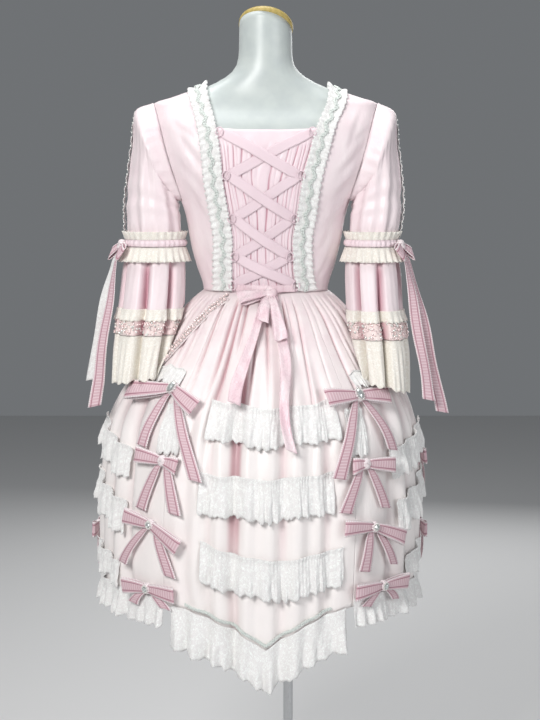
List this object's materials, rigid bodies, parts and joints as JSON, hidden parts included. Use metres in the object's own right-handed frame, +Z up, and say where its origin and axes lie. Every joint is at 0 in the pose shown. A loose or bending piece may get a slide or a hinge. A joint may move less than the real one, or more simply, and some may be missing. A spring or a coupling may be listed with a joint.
{
  "type": "princess dress on a limbless dress form",
  "caption": "Princess dress in pale pink satin with white lace tiers, ribbon bows and a laced back, worn by a limbless dress form on a pole stand.",
  "frame": {"origin": "centre of the foot plate's underside, on the floor below the pole", "axes": "+Z up, +Y out of the back of the dress, +X towards the wearer's left"},
  "size_m": [0.647, 0.565, 1.5603],
  "materials": {
    "steel": "satin",
    "form": "satin",
    "wood": "satin",
    "bodice_satin": "satin",
    "skirt_satin": "satin",
    "lace": "matt",
    "cream_lace": "matt",
    "bead_band": "satin",
    "ladder_ribbon": "matt",
    "lacing_ribbon": "matt",
    "satin_ribbon": "satin",
    "braid": "satin"
  },
  "bodies": {
    "root": {"stand_pole": "steel", "stand_foot": "steel", "form_torso": "form", "form_neck_cap": "wood", "bodice_back_left": "bodice_satin", "bodice_front_left": "bodice_satin", "lace_opening_left": "lace", "sleeve_upper_left": "bodice_satin", "sleeve_flounce_left": "skirt_satin", "sleeve_bead_band_left": "bead_band", "sleeve_cuff_left": "cream_lace", "sleeve_band_left": "cream_lace", "sleeve_lace_left": "lace", "sleeve_bow_left": "ladder_ribbon", "bodice_back_right": "bodice_satin", "bodice_front_right": "bodice_satin", "lace_opening_right": "lace", "sleeve_upper_right": "bodice_satin", "sleeve_flounce_right": "skirt_satin", "sleeve_bead_band_right": "bead_band", "sleeve_cuff_right": "cream_lace", "sleeve_band_right": "cream_lace", "sleeve_lace_right": "lace", "sleeve_bow_right": "ladder_ribbon", "bodice_front_middle": "bodice_satin", "shirred_panel": "bodice_satin", "lacing_ribbon_a": "lacing_ribbon", "lacing_ribbon_b": "lacing_ribbon", "waist_bow": "satin_ribbon", "skirt_back": "skirt_satin", "skirt_left": "skirt_satin", "skirt_front": "skirt_satin", "skirt_right": "skirt_satin", "lace_back_1": "lace", "lace_back_2": "lace", "lace_back_3": "lace", "swag_left_1": "lace", "swag_left_2": "lace", "swag_left_3": "lace", "swag_right_1": "lace", "swag_right_2": "lace", "swag_right_3": "lace", "lace_fall_left": "lace", "lace_fall_right": "lace", "hem_ruffle_back": "lace", "hem_ruffle_left": "lace", "hem_ruffle_right": "lace", "bow_left_1": "ladder_ribbon", "bow_left_2": "ladder_ribbon", "bow_left_3": "ladder_ribbon", "bow_left_4": "ladder_ribbon", "bow_right_1": "ladder_ribbon", "bow_right_2": "ladder_ribbon", "bow_right_3": "ladder_ribbon", "bow_right_4": "ladder_ribbon", "bow_side_left": "ladder_ribbon", "bow_side_right_1": "ladder_ribbon", "bow_side_right_2": "ladder_ribbon", "hem_braid": "braid", "beaded_braid": "bead_band"}
  },
  "joints": []
}
